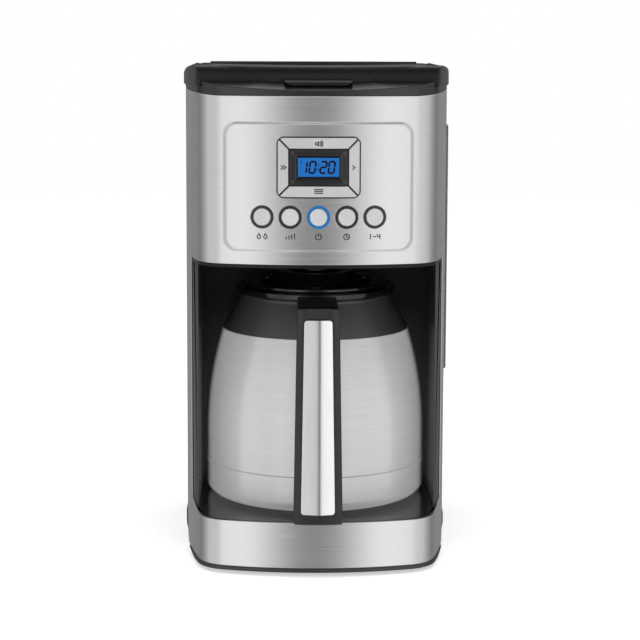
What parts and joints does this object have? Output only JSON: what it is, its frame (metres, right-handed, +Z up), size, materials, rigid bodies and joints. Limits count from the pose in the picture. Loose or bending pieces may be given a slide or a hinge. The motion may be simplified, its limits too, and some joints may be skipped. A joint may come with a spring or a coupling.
{
  "type": "drip coffee maker",
  "caption": "Drip coffee maker with steel wrap, display and buttons, rear water tank under a hinged lid, filter basket and a removable insulated carafe with twist lid.",
  "frame": {"origin": "on the standing surface, at the centre of the outline's box", "axes": "+Z up, -Y towards the front with the display and the carafe's handle, +X to the right seen from the front"},
  "size_m": [0.1989, 0.2523, 0.3669],
  "materials": {
    "brushed_steel_wrap": "horizontal brushing",
    "moulded_frame": "fine moulded grain",
    "black_plastic": "fine moulded grain",
    "deck_plastic": "satin",
    "cap_plastic": "satin gloss",
    "tank_plastic": "translucent smoke",
    "window_plastic": "translucent smoke",
    "basket_plastic": "satin",
    "gold_mesh": "fine mesh",
    "charcoal_bag": "non-woven",
    "bright_steel": "polished",
    "display_plastic": "gloss",
    "display_glass": "clear",
    "blue_screen": "lit blue",
    "pad_plastic": "satin silver",
    "button_cap": "satin silver",
    "ring_plastic": "gloss",
    "light_plastic": "translucent blue",
    "circuit_board": "solder resist",
    "switch_plastic": "moulded",
    "heater_metal": "extruded",
    "plated_steel": "zinc plated",
    "sensor_body": "phenolic",
    "ceramic_fuse": "glazed",
    "silicone_hose": "translucent silicone",
    "black_rubber": "soft",
    "carafe_steel": "horizontal brushing",
    "inner_steel": "satin",
    "collar_plastic": "satin",
    "valve_plastic": "satin",
    "handle_plastic": "soft satin",
    "handle_steel": "brushed lengthwise"
  },
  "bodies": {
    "housing": {"steel_wrap": "brushed_steel_wrap", "front_chassis": "moulded_frame", "bay_liner": "black_plastic", "rear_cover": "black_plastic", "base_plinth": "black_plastic", "base_plate": "black_plastic", "carafe_platform": "deck_plastic", "top_cap": "cap_plastic", "water_tank": "tank_plastic", "water_window": "window_plastic", "brew_chamber": "black_plastic", "filter_basket": "basket_plastic", "permanent_filter": "gold_mesh", "charcoal_holder": "basket_plastic", "charcoal_pod": "charcoal_bag", "hinge_pin": "bright_steel", "drip_stop_spring": "bright_steel", "display_frame": "display_plastic", "display_lens": "display_glass", "lcd_module": "blue_screen", "button_rings": "ring_plastic", "light_ring": "light_plastic", "control_board": "circuit_board", "tact_switches": "switch_plastic", "heater_tube": "heater_metal", "heater_bracket": "plated_steel", "thermostat": "sensor_body", "thermal_fuse": "ceramic_fuse", "inlet_hose": "silicone_hose", "riser_tube": "silicone_hose", "outlet_nozzle": "black_rubber", "power_board": "circuit_board", "feet": "black_rubber", "housing_screws": "bright_steel", "cord_gland": "black_plastic"},
    "reservoir_lid": {"reservoir_lid": "cap_plastic", "lid_liner": "basket_plastic", "showerhead": "basket_plastic"},
    "drip_stop": {"drip_stop_plunger": "basket_plastic", "drip_stop_seal": "black_rubber"},
    "carafe": {"carafe_shell": "carafe_steel", "carafe_cup": "carafe_steel", "carafe_liner": "inner_steel", "carafe_collar": "collar_plastic", "handle_frame": "handle_plastic", "handle_insert": "handle_steel", "handle_screws": "bright_steel"},
    "carafe_lid": {"carafe_lid": "collar_plastic", "lid_gasket": "black_rubber"},
    "brew_valve": {"brew_valve": "valve_plastic"},
    "button_1": {"button_1": "button_cap"},
    "button_2": {"button_2": "button_cap"},
    "button_3": {"button_3": "button_cap"},
    "button_4": {"button_4": "button_cap"},
    "button_5": {"button_5": "button_cap"},
    "pad_top": {"pad_top": "pad_plastic"},
    "pad_right": {"pad_right": "pad_plastic"},
    "pad_bottom": {"pad_bottom": "pad_plastic"},
    "pad_left": {"pad_left": "pad_plastic"}
  },
  "joints": [
    {"name": "lid_hinge", "type": "hinge", "parent": "housing", "child": "reservoir_lid", "pos_m": [0, 0.1155, 0.3623], "axis": [-1, 0, 0], "range_deg": [0, 95]},
    {"name": "carafe_slide", "type": "slide", "parent": "housing", "child": "carafe", "axis": [0, -1, 0], "range_m": [0, 0.23]},
    {"name": "carafe_lid_twist", "type": "hinge", "parent": "carafe", "child": "carafe_lid", "pos_m": [0, 0.0045, 0.2], "axis": [0, 0, 1], "range_deg": [0, 60]},
    {"name": "brew_valve_slide", "type": "slide", "parent": "carafe_lid", "child": "brew_valve", "axis": [0, 0, -1], "range_m": [0, 0.002], "stiffness_N_per_m": 300, "springref_m": -0.0012},
    {"name": "drip_stop_slide", "type": "slide", "parent": "housing", "child": "drip_stop", "axis": [0, 0, 1], "range_m": [0, 0.003], "stiffness_N_per_m": 300, "deforming": ["drip_stop_spring"]},
    {"name": "button_1_press", "type": "slide", "parent": "housing", "child": "button_1", "axis": [0.1577, 0.9875, 0], "range_m": [0, 0.001], "stiffness_N_per_m": 500},
    {"name": "button_2_press", "type": "slide", "parent": "housing", "child": "button_2", "axis": [0.0791, 0.9969, 0], "range_m": [0, 0.001], "stiffness_N_per_m": 500},
    {"name": "button_3_press", "type": "slide", "parent": "housing", "child": "button_3", "axis": [0, 1, 0], "range_m": [0, 0.001], "stiffness_N_per_m": 500},
    {"name": "button_4_press", "type": "slide", "parent": "housing", "child": "button_4", "axis": [-0.0791, 0.9969, 0], "range_m": [0, 0.001], "stiffness_N_per_m": 500},
    {"name": "button_5_press", "type": "slide", "parent": "housing", "child": "button_5", "axis": [-0.1577, 0.9875, 0], "range_m": [0, 0.001], "stiffness_N_per_m": 500},
    {"name": "pad_top_press", "type": "slide", "parent": "housing", "child": "pad_top", "axis": [0, 1, 0], "range_m": [0, 0.0005], "stiffness_N_per_m": 500},
    {"name": "pad_right_press", "type": "slide", "parent": "housing", "child": "pad_right", "axis": [0, 1, 0], "range_m": [0, 0.0005], "stiffness_N_per_m": 500},
    {"name": "pad_bottom_press", "type": "slide", "parent": "housing", "child": "pad_bottom", "axis": [0, 1, 0], "range_m": [0, 0.0005], "stiffness_N_per_m": 500},
    {"name": "pad_left_press", "type": "slide", "parent": "housing", "child": "pad_left", "axis": [0, 1, 0], "range_m": [0, 0.0005], "stiffness_N_per_m": 500}
  ]
}
